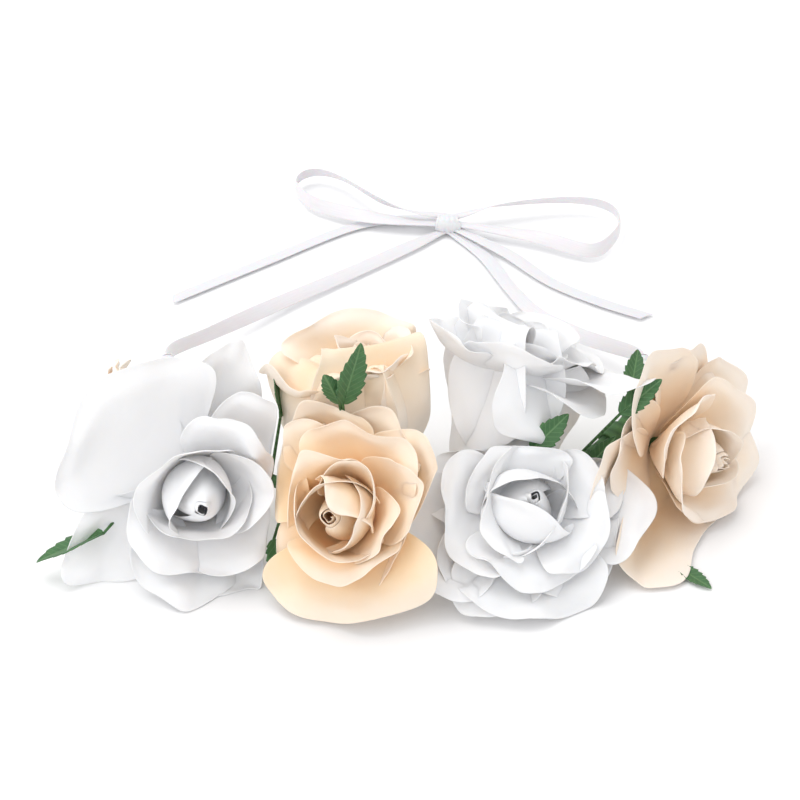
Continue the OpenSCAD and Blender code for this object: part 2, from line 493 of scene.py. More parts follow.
@dataclass(frozen=True)
class SatinRibbon:
    """Polyester satin, woven with its floats along the length: a soft streaky gloss, partly painted into its
    colour as sheen streaks, and a firm edge.
    """

    name: str = "ribbon_satin_polyester"
    white: str = "#e8e8eb"
    shade: str = "#dcdce0"
    half_width: float = 3.0
    streak: float = 0.35  # real floats are 0.05 mm wide, drawn coarser so that they show

    def material(self) -> Material:
        """Makes the satin, with fine lines along it, painted sheen streaking its colour along the floats, and
        a raised edge.
        """
        made, tree, shader = new_material(self.name)
        cut = add_node(tree, "ShaderNodeUVMap", {"uv_map": "cut"}).outputs[0]
        longer = {"Scale": (1.0, 0.04, 1.0)}
        drawn_out = add_node(tree, "ShaderNodeMapping", longer, {"Vector": cut}).outputs[0]
        floats_and_sheen = noise_field(tree, self.streak, drawn_out, Detail=2.0)
        side = maths(tree, "ABSOLUTE", add_node(tree, "ShaderNodeSeparateXYZ", {}, {0: cut}).outputs[0])
        selvedge = {"From Min": (self.half_width - 0.7) * MM, "From Max": (self.half_width - 0.3) * MM}
        height = maths(tree, "MULTIPLY_ADD", floats_and_sheen, 0.25, ramp(tree, side, selvedge))
        # painted sheen: the colour runs from the darker shade to white along the floats, drawing the satin's
        # streaky gloss into it
        colour = mix(tree, self.shade, self.white, floats_and_sheen)
        values = {
            "Roughness": 0.42,
            "Sheen Weight": 0.3,
            "Subsurface Weight": 0.25,
            "Subsurface Scale": 0.6 * MM,
        }
        finish(tree, shader, values, {"Base Color": colour, "Normal": relief(tree, height, 0.4, 0.12)})
        return made


@dataclass(frozen=True)
class CrepeTape:
    """Waxed crepe paper floral tape, stretched and wound: matt, finely puckered, each turn lapped."""

    name: str
    green: str
    dark: str
    round_band: bool  # wound round the half ring, or up a short stem
    lap: float = 5.0
    pucker: float = 0.5

    def material(self) -> Material:
        """Makes the tape, with its laps running round the band or up the stems, and painted shade in the
        grooves between turns and in the puckers' creases.
        """
        made, tree, shader = new_material(self.name)
        where = add_node(tree, "ShaderNodeTexCoord", {}).outputs["Object"]
        x, y, z = add_node(tree, "ShaderNodeSeparateXYZ", {}, {0: where}).outputs
        if self.round_band:
            run = maths(tree, "MULTIPLY_ADD", maths(tree, "ARCTAN2", y, x), RING_R * MM, z)
        else:
            run = maths(tree, "ADD", z, x)
        lap = maths(tree, "PINGPONG", run, self.lap / 2 * MM)
        ridge = ramp(tree, lap, {"From Max": self.lap / 2 * MM})
        pucker = noise_field(tree, self.pucker, where, Detail=3.0, Roughness=0.6)
        height = maths(tree, "MULTIPLY_ADD", pucker, 0.5, ridge)
        # painted shade: the colour darkens with the relief, in the groove between turns and in the puckers'
        # creases
        colour = mix(tree, self.dark, self.green, height)
        links = {"Base Color": colour, "Normal": relief(tree, height, 0.7, 0.3)}
        finish(tree, shader, {"Roughness": 0.72}, links)
        return made


@dataclass(frozen=True)
class HardGreen:
    """A hard green surface: moulded polyethylene calyx, or lacquer on wire, faintly mottled and glossy."""

    name: str
    light: str
    dark: str
    gloss: float
    grain: float

    def material(self) -> Material:
        """Makes the surface, with a faint mottle in colour, gloss and relief."""
        made, tree, shader = new_material(self.name)
        where = add_node(tree, "ShaderNodeTexCoord", {}).outputs["Object"]
        mottle = noise_field(tree, self.grain, where, Detail=4.0)
        links = {
            "Base Color": mix(tree, self.dark, self.light, mottle),
            "Roughness": ramp(tree, mottle, {"To Min": self.gloss, "To Max": self.gloss + 0.15}),
            "Normal": relief(tree, mottle, 0.25, 0.1),
        }
        finish(tree, shader, {"IOR": 1.51}, links)
        return made


@dataclass(frozen=True)
class PaleFloor:
    """Matt white board: almost even, with a very faint mottle."""

    name: str = "floor_matt_board"
    white: str = "#fbfbfc"
    shade: str = "#f7f7f8"

    def material(self) -> Material:
        """Makes the board."""
        made, tree, shader = new_material(self.name)
        where = add_node(tree, "ShaderNodeTexCoord", {}).outputs["Object"]
        colour = mix(tree, self.shade, self.white, noise_field(tree, 250, where))
        finish(tree, shader, {"Roughness": 0.9}, {"Base Color": colour})
        return made


class Dye(Enum):
    """The colours of petal cloth."""

    # the white's base is a touch lighter than its rim: painted light, brightening the shade deep inside the
    # roses
    WHITE = PetalCloth("petal_cloth_white_polyester", "#f0f0f1", "#f0f0f1", "#f1f1f3")
    PEACH = PetalCloth("petal_cloth_peach_polyester", "#f8e6d4", "#fad9b2", "#f8b774")
    PALE_PEACH = PetalCloth("petal_cloth_pale_peach_polyester", "#faecdf", "#fbe4cb", "#fad2a4")


# ---------------------------------------------------------------- roses


@dataclass(frozen=True)
class Petal:
    """One petal, in its rose's own frame: the rose faces +Z, and turn runs clockwise from its top.

    turn, reach and height place the tip: degrees, then millimetres out from the pin and up from the neck.
    The opens are degrees away from the pin at the foot and the tip, and the curls how far each half wraps.
    """

    turn: float
    reach: float
    height: float
    width: float
    open_foot: float = 78.0
    open_tip: float = 52.0
    curl_foot: float = 50.0
    curl_tip: float = 26.0
    roll: float = 3.0
    wave: float = 1.0
    point: float = 0.07
    tuck: float = 2.0
    skew: float = 0.0
    free: bool = False  # not held back by the planes between neighbouring roses
    grip: float = 0.38  # how strongly the opens bend the middle line

    def line(self, foot: float) -> np.ndarray:
        """Draws the petal's middle line from its foot on the pin to its tip.

        Args:
            foot: the height of the foot.

        Returns:
            Rows of distance along, distance out, height, and the direction's two parts.
        """
        start, end = np.array([1.4, foot]), np.array([self.reach, self.height])
        grip = self.grip * np.linalg.norm(end - start)
        leave, arrive = math.radians(self.open_foot), math.radians(self.open_tip)
        second = start + grip * np.array([math.sin(leave), math.cos(leave)])
        third = end - grip * np.array([math.sin(arrive), math.cos(arrive)])
        u = np.linspace(0, 1, 60)[:, None]
        p = (1 - u) ** 3 * start + 3 * (1 - u) ** 2 * u * second + 3 * (1 - u) * u**2 * third + u**3 * end
        step = np.linalg.norm(np.diff(p, axis=0), axis=1)
        along = np.concatenate([[0], np.cumsum(step)])
        ahead = np.gradient(p, axis=0)
        ahead /= np.linalg.norm(ahead, axis=1)[:, None]
        return np.column_stack([along, p, ahead])

    def shape(self, grid: np.ndarray, foot: float, seed: float) -> tuple[np.ndarray, np.ndarray, np.ndarray]:
        """Shapes a flat grid into the petal.

        Args:
            grid: points from -1 to 1, across and along.
            foot: the height of the petal's foot on the pin.
            seed: where in the noise the petal's own folds come from.

        Returns:
            Places in the rose's frame, places in the flat cut, and the share of the way to the rim.
        """
        a, b = grid[:, 0], grid[:, 1]
        x, y = a * np.sqrt(1 - b * b / 2), b * np.sqrt(1 - a * a / 2)
        edge, bearing = np.hypot(x, y), np.arctan2(x, y)
        wobble = 1 + 0.03 * np.sin(5 * bearing + seed) * edge**3
        x, y = x * wobble, y * wobble
        share = (y + 1) / 2
        taper = 0.5 + 0.5 * smooth(share / 0.62)
        top = smooth((share - 0.25) / 0.6)
        share = share - self.point * (1 - np.exp(-((x / 0.45) ** 2))) * share**3
        line = self.line(foot)
        length = line[-1, 0]
        rim = smooth((edge - 0.62) / 0.38) ** 1.5 * (0.3 + 0.7 * top)
        run = (share - 0.35 * self.roll * rim * np.maximum(y, 0) / length) * length
        half = self.width / 2 * taper
        curl = np.radians(self.curl_foot + (self.curl_tip - self.curl_foot) * np.clip(share, 0, 1))
        curl = np.where(np.abs(curl) < 0.02, 0.02, curl)
        side = half / curl * np.sin(x * curl) * (1 - 0.3 * self.roll * rim * np.abs(x) / self.width)
        inward = half / curl * (1 - np.cos(x * curl))
        ripple = np.sin(3.0 * bearing + seed * 1.7) + 0.6 * np.sin(6.0 * bearing + seed * 2.9)
        inward += -self.roll * rim + 1.5 * self.wave * ripple * edge**3 * top + self.tuck * x * share
        folds = np.array([noise.noise(Vector((p * 1.6 + seed, q * 1.3 - seed, seed))) for p, q in zip(x, y)])
        frill = np.array([noise.noise(Vector((p * 4.2 - seed, q * 4.2, seed * 2))) for p, q in zip(x, y)])
        inward += (2.2 * folds + 1.0 * frill * edge**2) * top
        out = np.interp(run, line[:, 0], line[:, 1]) + np.maximum(run - length, 0) * line[-1, 3]
        up = np.interp(run, line[:, 0], line[:, 2]) + np.maximum(run - length, 0) * line[-1, 4]
        ahead_out = np.interp(run, line[:, 0], line[:, 3])
        ahead_up = np.interp(run, line[:, 0], line[:, 4])
        out, up = out - ahead_up * inward, up + ahead_out * inward
        side = side + self.skew * share**2
        turn = math.radians(180 - self.turn)
        place_x = out * math.cos(turn) + side * math.sin(turn)
        place_y = out * math.sin(turn) - side * math.cos(turn)
        cut = np.column_stack([x * half, run])
        return np.column_stack([place_x, place_y, up]), cut, np.clip(edge * 0.35 + share * 0.7, 0, 1)


@dataclass(frozen=True)
class Plane:
    """A plane that a rose's petals press against softly: they stay on the side that away points from."""

    point: tuple[float, float, float]
    away: tuple[float, float, float]

    def hold(self, points: np.ndarray, softness: float) -> np.ndarray:
        """Presses points back behind the plane.

        Args:
            points: places in millimetres.
            softness: how far from the plane they start to flatten.

        Returns:
            The places, none of them past the plane.
        """
        away = np.array(self.away, float)
        away /= np.linalg.norm(away)
        over = (points - np.array(self.point)) @ away
        held = -softness * np.logaddexp(0, -over / softness)
        return points + np.outer(held - over, away) * (over > -6 * softness)[:, None]


FLOOR = Plane((0, 0, FLOOR_GAP), (0, 0, -1))
OVER_STALKS = Plane((0, 0, 1.8), (0, 0, -1))  # petals that lie on the table, over a leaf stalk


@dataclass
class Heart:
    """The rolled strip in the middle of a rose."""

    inner: float = 1.6
    outer: float = 6.5
    turns: float = 2.6
    height: float = 34.0
    depth: float = 16.0
    lean: float = 0.0  # how much wider it is at its foot, as a closed bud is

    def shape(self, grid: np.ndarray, seed: float) -> tuple[np.ndarray, np.ndarray, np.ndarray]:
        """Rolls a flat grid into the heart.

        Args:
            grid: points from -1 to 1, across and along.
            seed: how far round the strip starts.

        Returns:
            Places in the rose's frame, places in the flat cut, and the share of the way to the rim.
        """
        along, up = (grid[:, 1] + 1) / 2, (grid[:, 0] + 1) / 2
        angle = -along * self.turns * 2 * math.pi + seed
        radius = self.inner + (self.outer - self.inner) * along
        spread = (0.0 if self.lean else 0.22) * smooth((up - 0.55) / 0.45)
        flare = 1 + spread + 0.03 * np.sin(2.3 * angle) * up
        narrow = 1 + self.lean * (1 - up) ** 0.7 if self.lean else 0.55 + 0.45 * smooth(up / 0.6)
        rim = self.height - 3.0 * along**2 + 0.9 * np.sin(3.1 * angle + 1)
        z = rim - self.depth * (1 - up)
        radius = radius * flare * narrow
        length = math.pi * self.turns * (self.inner + self.outer) * (1 + LEAN_LENGTH * self.lean)
        cut = np.column_stack([up * self.depth, along * length])
        return np.column_stack([radius * np.cos(angle), radius * np.sin(angle), z]), cut, 0.3 + 0.45 * up


@dataclass
class Rose:
    """One rose: three layers of petals round a rolled heart, on its own head."""

    name: str
    dye: Dye
    ball: tuple[float, float, float]
    azimuth: float
    elevation: float
    outer: list[Petal]
    middle: list[Petal]
    inner: list[Petal]
    heart: Heart = field(default_factory=Heart)
    planes: list[Plane] = field(default_factory=list)
    seed: float = 0.0
    layer_feet: tuple[float, float, float] = (5.5, 6.8, 8.0)
    softness: float = 1.0
    cloth: float = 0.3

    def to_world(self, local: np.ndarray, free: bool) -> np.ndarray:
        """Carries places from the rose's frame to the crown's, pressed back from neighbours and the table.

        Args:
            local: places in the rose's frame.
            free: whether the neighbours' planes are left out.

        Returns:
            Places in the crown's frame, in millimetres.
        """
        azimuth, elevation = math.radians(self.azimuth), math.radians(self.elevation)
        flat = np.array([math.cos(azimuth), math.sin(azimuth), 0])
        up = np.array([0, 0, 1.0])
        facing = math.cos(elevation) * flat + math.sin(elevation) * up
        down = math.sin(elevation) * flat - math.cos(elevation) * up
        right = np.array([-math.sin(azimuth), math.cos(azimuth), 0])
        points = np.array(self.ball) + local @ np.array([down, right, facing])
        if not free:
            for plane in self.planes:
                points = plane.hold(points, self.softness)
        return (OVER_STALKS if free else FLOOR).hold(points, 0.8)

    def thread(self, piece: Object, layer: str) -> None:
        """Puts a finished piece on the rose's head.

        Args:
            piece: the piece.
            layer: how the name of the CAD node that it stands for ends.
        """
        colour = "white" if self.dye is Dye.WHITE else "peach"
        place(piece, f"{self.name}_head", f"{colour}_petal_cloth", f"{self.name}_{layer}")

    def petal_layer(
        self, stock: GridStock, layer: str, petals: list[Petal], foot: float, cloth: Material
    ) -> None:
        """Makes one layer of petals, cut in one piece and threaded on the pin.

        Args:
            stock: where the grids come from.
            layer: the layer's name, as the CAD node's name ends.
            petals: the layer's petals.
            foot: the height of their feet on the pin.
            cloth: the petal cloth.
        """
        made, area = [], 0.0
        for i, petal in enumerate(petals):
            seed = self.seed + 1.37 * i + foot
            blank, grid = stock.copy(*PETAL_GRID)
            local, cut, reach = petal.shape(grid, foot + 0.25 * (i % 3), seed)
            area += lay(blank, self.to_world(local, petal.free), cut, reach)
            made.append(blank)
        piece = sew(made, f"{self.name}_{layer}_cloth", cloth, self.cloth)
        self.thread(piece, layer)

    def rolled_heart(self, stock: GridStock, cloth: Material) -> None:
        """Makes the rolled heart.

        Args:
            stock: where the grids come from.
            cloth: the petal cloth.
        """
        blank, grid = stock.copy(*HEART_GRID)
        local, cut, reach = self.heart.shape(grid, self.seed)
        area = lay(blank, self.to_world(local, False), cut, reach)
        piece = sew([blank], f"{self.name}_heart_cloth", cloth, self.cloth)
        self.thread(piece, "heart")

    def build(self, stock: GridStock, cloth: Material) -> None:
        """Makes every petal layer and the heart.

        Args:
            stock: where the grids come from.
            cloth: the petal cloth.
        """
        layers = {"outer_petals": self.outer, "middle_petals": self.middle, "inner_petals": self.inner}
        for (layer, petals), foot in zip(layers.items(), self.layer_feet):
            self.petal_layer(stock, layer, petals, foot, cloth)
        self.rolled_heart(stock, cloth)


def cupped(turn: float, reach: float, height: float, width: float, wrap: float, **more: float) -> Petal:
    """Describes an inner petal that wraps round the middle of its rose.

    Args:
        turn: where its tip is, clockwise from the top.
        reach: how far out its tip is.
        height: how high its tip is.
        width: how wide it is cut.
        wrap: how far each half wraps, in degrees.
        more: any other size of the petal.

    Returns:
        The petal.
    """
    sizes = {"open_foot": 34.0, "open_tip": 6.0, "roll": 1.2, "wave": 0.6, "tuck": 1.5, "point": 0.05}
    sizes.update(more)
    return Petal(turn, reach, height, width, curl_foot=wrap, curl_tip=wrap, **sizes)


def crown_roses() -> list[Rose]:
    """Lists the seven roses with their petals."""
    left_of_peach = Plane((-41, -105, 45), (1, 0.22, -0.25))
    right_of_white = Plane((-39.8, -105, 45), (-1, -0.22, 0.25))
    behind_front = Plane((0, -92.3, 50), (0, 1, 0.12))
    before_top = Plane((0, -87.2, 50), (0, -1, -0.12))
    before_top_peach = Plane((-46.2, -81.5, 60), (0.8, 0.6, 0))
    beside_left_white = Plane((-42, -78.5, 60), (-0.8, -0.6, 0))
    under_top_white = Plane((45, -91.5, 42), (0, 0.9, 0.43))
    over_front_white = Plane((45, -89.6, 43), (0, -0.9, -0.43))
    left_white = Rose(
        "rose_left_white", Dye.WHITE, (-75, -84, 23.5), 282, 21,
        [
            Petal(320, 47, 22, 76, 80, 44, 46, 26, 4.5, 1.5, 0.02, 0.0),
            Petal(240, 54, 19, 32, 76, 68, 30, 18, 1.5, 1.0, 0.05, 1.0),
            Petal(192, 40, 33, 44, 70, 60, 34, 20, 2.0, 1.6, 0.1, 1.5),
            Petal(157, 44, 30, 40, 70, 62, 34, 24, 2.0, 1.6, 0.1, 1.5),
            Petal(118, 31, 24, 36, 66, 40, 60, 50, 2.0, 1.0, 0.04, 2.0),
            Petal(57, 43, 21, 38, 68, 56, 46, 30, 3.0, 1.2, 0.05, 1.0),
            Petal(25, 51, 12, 32, 74, 66, 40, 30, 2.0, 1.4, 0.05, 0.0),
        ],
        [
            Petal(318, 18, 37, 50, 44, 12, 66, 60, 1.5, 1.0, 0.06, 3.0),
            Petal(44, 30, 34, 40, 58, 42, 54, 42, 3.0, 1.4, 0.1, 2.0),
            Petal(88, 24, 34, 38, 52, 30, 72, 66, 1.5, 0.8, 0.05, 2.0),
            Petal(146, 31, 33, 42, 58, 50, 44, 30, 2.5, 1.6, 0.08, 2.0),
            Petal(214, 28, 33, 42, 58, 46, 46, 30, 2.5, 1.6, 0.08, 2.0),
        ],
        [
            cupped(165, 13, 36, 52, 80, open_foot=62, open_tip=4, grip=0.5, tuck=3.0),
            cupped(60, 9, 37, 46, 90, open_foot=62, open_tip=-16, grip=0.5, tuck=3.0),
            cupped(290, 7, 38.5, 44, 92, open_foot=60, open_tip=-24, grip=0.5, tuck=3.0),
        ],
        Heart(height=40, outer=2.9, inner=1.2, turns=2.2, depth=18, lean=3.0),
        [left_of_peach, before_top_peach], 0.4,
    )
    front_peach = Rose(
        "rose_front_peach", Dye.PEACH, (-16, -103, 24), 252, 34,
        [
            Petal(334, 41, 18, 38, 70, 46, 48, 38, 2.0, 0.8, 0.18, 1.0, -3.0),
            Petal(296, 38, 19, 44, 68, 50, 50, 34, 2.5, 1.2, 0.05, 1.5),
            Petal(215, 32, 15, 30, 76, 70, 34, 20, 1.0, 1.0, 0.06, 1.0),
            Petal(163, 38, 17, 66, 66, 88, 40, 14, 1.5, 1.8, 0.02, 0.5, free=True),
            Petal(122, 40, 10, 36, 76, 82, 30, 14, 1.0, 1.0, 0.05, 1.0),
            Petal(8, 35, 14, 42, 66, 44, 46, 32, 2.0, 1.6, 0.04, 2.0),
            Petal(50, 37, 19, 40, 66, 42, 50, 38, 2.5, 1.2, 0.04, 2.0),
        ],
        [
            Petal(10, 30, 25, 50, 54, 32, 48, 40, 3.0, 2.0, 0.03, 1.5),
            Petal(62, 28, 27, 36, 50, 28, 56, 48, 1.2, 0.8, 0.05, 2.0),
            Petal(104, 19, 30, 32, 50, 34, 50, 40, 1.5, 0.8, 0.06, 2.0),
            Petal(160, 22, 29, 44, 58, 44, 46, 34, 2.0, 1.0, 0.06, 1.5),
            Petal(315, 21, 33, 44, 46, 22, 66, 58, 1.8, 1.4, 0.08, 2.5),
        ],
        [
            cupped(22, 19, 35, 40, 116, open_foot=46, open_tip=2, roll=0.8),
            cupped(205, 11, 36, 56, 92, open_foot=66, open_tip=-14, grip=0.48, roll=1.6),
            cupped(320, 9.5, 36.5, 46, 92, open_foot=62, open_tip=-18, grip=0.46, roll=1.2),
            cupped(95, 8, 37, 42, 92, open_foot=60, open_tip=-20, grip=0.46, roll=1.2),
            cupped(30, 2.5, 38, 34, 66, open_foot=44, open_tip=-58, grip=0.5, point=0.12),
        ],
        Heart(height=36, outer=3.6, inner=0.9, turns=2.4, lean=1.7),
        [right_of_white, behind_front, Plane((-6, -110, 20), (0.88, 0, -0.47))], 2.1,
    )
    front_white = Rose(
        "rose_front_white", Dye.WHITE, (39, -97, 12), 285, 58,
        [
            Petal(262, 49, 16, 50, 70, 66, 40, 24, 2.5, 1.6, 0.03, 1.0),
            Petal(225, 41, 14, 42, 72, 66, 36, 22, 2.0, 1.4, 0.05, 1.0),
            Petal(190, 40, 14, 58, 66, 74, 34, 18, 2.0, 1.8, 0.06, 1.0),
            Petal(137, 35, 13, 46, 68, 66, 36, 22, 2.0, 1.6, 0.06, 1.0),
            Petal(96, 45, 15, 46, 68, 60, 40, 26, 2.5, 1.4, 0.06, 1.0),
            Petal(68, 38, 16, 40, 66, 54, 44, 30, 2.5, 1.2, 0.05, 1.0),
            Petal(15, 22, 16, 42, 60, 40, 46, 34, 2.0, 1.2, 0.03, 1.0),
            Petal(311, 35, 15, 44, 64, 50, 44, 30, 2.0, 1.4, 0.03, 1.0),
        ],
        [
            Petal(345, 20, 25, 48, 50, 28, 52, 42, 2.4, 1.6, 0.04, 2.5),
            Petal(50, 28, 23, 46, 54, 46, 46, 34, 2.5, 1.6, 0.05, 2.0),
            Petal(118, 28, 22, 48, 56, 56, 42, 28, 2.5, 1.8, 0.06, 2.0),
            Petal(192, 28, 21, 48, 56, 56, 42, 28, 2.5, 1.8, 0.06, 2.0),
            Petal(272, 31, 23, 50, 58, 52, 44, 28, 2.5, 1.4, 0.03, 2.0),
        ],
        [
            cupped(280, 16, 27, 52, 56, open_foot=60, open_tip=16, tuck=3.0, roll=2.0, wave=1.2),
            cupped(120, 10, 28.5, 54, 70, open_foot=74, open_tip=-20, grip=0.6, tuck=3.0),
            cupped(0, 4, 30.5, 52, 88, open_foot=75, open_tip=-56, grip=0.68, tuck=3.5),
            cupped(215, 3, 30, 50, 84, open_foot=74, open_tip=-56, grip=0.66, tuck=3.5),
        ],
        Heart(height=29.5, outer=2.8, inner=0.5, turns=2.2, lean=4.0),
        [under_top_white, Plane((-4.6, -110, 20), (-0.88, 0, 0.47))], 3.3,
    )
    right_peach = Rose(
        "rose_right_peach", Dye.PALE_PEACH, (83, -60, 17.3), 322, 14,
        [
            Petal(345, 44, 22, 50, 58, 44, 46, 40, 2.5, 0.8, 0.12, 1.0, 2.0),
            Petal(300, 38, 18, 42, 58, 44, 46, 40, 2.0, 0.8, 0.05, 1.0),
            Petal(30, 38, 20, 44, 64, 44, 46, 34, 2.0, 1.2, 0.08, 1.0),
            Petal(86, 45, 21, 50, 66, 50, 44, 30, 2.5, 1.6, 0.1, 1.0),
            Petal(124, 43, 18, 46, 66, 56, 44, 28, 2.0, 1.6, 0.1, 1.0),
            Petal(278, 46, 16, 44, 66, 52, 46, 36, 2.0, 1.0, 0.05, 1.0),
            Petal(214, 63, 34, 74, 74, 40, 26, 18, 1.5, 1.6, 0.12, 3.0, 0.0, True),
        ],
        [
            Petal(340, 26, 34, 46, 46, 26, 60, 54, 2.2, 1.0, 0.12, 2.0),
            Petal(78, 30, 33, 46, 50, 40, 50, 40, 2.5, 1.2, 0.1, 2.0),
            Petal(122, 30, 34, 44, 50, 42, 48, 36, 2.5, 1.2, 0.1, 2.0),
            Petal(178, 22, 36, 44, 44, 28, 56, 44, 2.0, 1.0, 0.06, 2.0),
            Petal(252, 22, 36, 48, 44, 20, 66, 60, 2.0, 1.0, 0.06, 2.5),
        ],
        [
            cupped(300, 9, 38, 44, 92, open_foot=60, open_tip=-18, grip=0.48, tuck=2.5),
            cupped(60, 8, 38, 42, 92, open_foot=60, open_tip=-18, grip=0.48, tuck=2.5),
            cupped(170, 7, 38, 40, 92, open_foot=60, open_tip=-18, grip=0.48, tuck=2.5),
        ],
        Heart(height=37, outer=3.8, inner=1.0, turns=2.4, lean=1.6),
        [], 4.6,
    )
    top_peach = Rose(
        "rose_top_peach", Dye.PALE_PEACH, (-14, -73, 42), 98, 70,
        [
            Petal(340, 17, -18, 52, 10, 172, 40, -30, 2.0, 1.4, 0.02, 1.5, grip=1.45),
            Petal(38, 18, -14, 40, 16, 168, 40, -30, 1.5, 1.4, 0.04, 1.5, grip=1.15),
            Petal(296, 18, -10, 36, 24, 165, 40, -30, 1.5, 1.4, 0.04, 1.5, grip=1.2),
            Petal(84, 38, 20, 42, 66, 24, 46, 34, 2.0, 1.2, 0.06, 1.5),
            Petal(64, 32, -10, 46, 44, 162, 36, -30, 2.0, 1.4, 0.06, 1.5, grip=1.0),
            Petal(178, 30, 18, 46, 70, 50, 44, 28, 2.5, 1.2, 0.05, 1.5),
            Petal(235, 28, 16, 40, 70, 50, 44, 28, 2.0, 1.2, 0.05, 1.5),
        ],
        [
            Petal(160, 16, 33, 58, 50, 0, 50, 38, 2.0, 2.2, 0.02, 2.0),
            Petal(235, 17, 27, 40, 50, 14, 56, 46, 2.0, 1.0, 0.04, 2.0),
            Petal(300, 16, 22, 38, 50, 8, 60, 50, 1.5, 1.0, 0.04, 2.0),
            Petal(30, 16, 20, 36, 50, 4, 60, 50, 1.5, 1.0, 0.04, 2.0),
        ],
        [
            cupped(100, 7, 27, 36, 92, open_foot=56, open_tip=-14),
            cupped(220, 7, 27, 36, 92, open_foot=56, open_tip=-14),
            cupped(340, 6, 25, 34, 92, open_foot=56, open_tip=-14),
        ],
        Heart(height=24, outer=4.5, turns=1.8),
        [before_top, beside_left_white, Plane((13, -86, 50), (0.96, 0.27, 0))], 5.9,
    )
    top_white = Rose(
        "rose_top_white", Dye.WHITE, (36, -64, 42), 68, 66,
        [
            Petal(36, 18, -26, 46, 10, 170, 42, -30, 1.5, 1.2, 0.02, 1.0, grip=1.35),
            Petal(352, 17, -25, 42, 8, 170, 46, -30, 1.5, 1.2, 0.04, 1.0, grip=1.3),
            Petal(306, 26, -14, 44, 36, 160, 36, -30, 1.5, 1.0, 0.04, 1.0, grip=0.8),
            Petal(58, 30, 25, 46, 66, 4, 60, 50, 1.5, 1.2, 0.03, 1.5),
            Petal(350, 24, 25, 40, 66, -8, 40, 26, 1.5, 0.8, 0.02, 1.0),
            Petal(268, 49, 19, 40, 72, 50, 44, 26, 2.0, 0.8, 0.16, 1.0),
            Petal(284, 37, 5, 40, 78, 96, 30, 16, 1.5, 1.0, 0.05, 1.0),
            Petal(165, 30, 20, 46, 70, 50, 44, 28, 2.5, 1.2, 0.05, 1.5),
            Petal(220, 32, 18, 42, 70, 50, 44, 28, 2.5, 1.2, 0.05, 1.5),
        ],
        [
            Petal(90, 20, 30, 42, 50, 6, 60, 50, 1.5, 1.4, 0.04, 2.0),
            Petal(330, 18, 24, 36, 52, 10, 56, 46, 1.5, 1.0, 0.04, 2.0),
            Petal(200, 18, 28, 44, 50, 16, 54, 42, 2.0, 1.2, 0.04, 2.0),
            Petal(265, 26, 20, 38, 56, 36, 46, 34, 2.0, 1.0, 0.06, 2.0),
        ],
        [
            cupped(110, 7, 28, 36, 92, open_foot=56, open_tip=-14),
            cupped(230, 7, 27, 36, 92, open_foot=56, open_tip=-14),
            cupped(350, 6, 26, 34, 92, open_foot=56, open_tip=-14),
        ],
        Heart(height=25, outer=4.5, turns=1.8),
        [over_front_white, Plane((16, -86, 50), (-0.96, -0.27, 0))], 7.2,
    )
    left_end = Rose(
        "rose_left_end", Dye.PALE_PEACH, (-96, -43, 17.3), 188, 12,
        [Petal(72 * i + 10, 20, 11, 26, 70, 50, 46, 30, 1.5, 0.8, 0.06, 1.5) for i in range(5)],
        [Petal(72 * i + 44, 14, 15, 23, 54, 34, 52, 40, 1.5, 0.8, 0.06, 1.5) for i in range(5)],
        [cupped(120 * i + 20, 7, 18, 22, 84, roll=0.8) for i in range(3)],
        Heart(height=18.5, outer=4.2, depth=10.5, turns=2.0),
        [], 8.5, (3.6, 4.4, 5.2),
    )
    return [left_white, front_peach, front_white, right_peach, top_peach, top_white, left_end]


# ---------------------------------------------------------------- leaves


@dataclass(frozen=True)
class Blade:
    """One saw-toothed leaf blade, from its foot to its tip, with its twist about that line in degrees."""

    foot: tuple[float, float, float]
    tip: tuple[float, float, float]
    twist: float = 0.0
    droop: float = 1.2
    ratio: float = 0.44

    def shape(self, grid: np.ndarray) -> tuple[np.ndarray, np.ndarray, np.ndarray]:
        """Shapes a flat grid into the blade.

        Args:
            grid: points from -1 to 1, across and along.

        Returns:
            Places in the crown's frame, places in the flat cut, and the share of the way to the edge.
        """
        start, end = np.array(self.foot, float), np.array(self.tip, float)
        length = float(np.linalg.norm(end - start))
        ahead = (end - start) / length
        level = np.cross([0, 0, 1.0], ahead)
        level /= np.linalg.norm(level)
        over = np.cross(ahead, level)
        twist = math.radians(self.twist)
        wide = math.cos(twist) * level + math.sin(twist) * over
        thick = np.cross(ahead, wide)
        a, u = grid[:, 0], (grid[:, 1] + 1) / 2
        body = np.sin(np.pi * np.clip(u, 0, 1) ** 0.8) ** 0.75
        teeth = 1 - 0.2 * np.abs(a) ** 5 * (1 - (u * 7) % 1) * smooth(u / 0.12) * smooth((1 - u) / 0.1)
        half = length * self.ratio / 2 * body * teeth + 0.35 * (1 - u)
        side = a * half
        lift = 0.32 * np.abs(side) - self.droop * u * u + 0.25 * np.sin(9 * u) * a * a
        points = start + np.outer(u * length, ahead) + np.outer(side, wide) + np.outer(lift, thick)
        return points, np.column_stack([side, u * length]), np.abs(a)


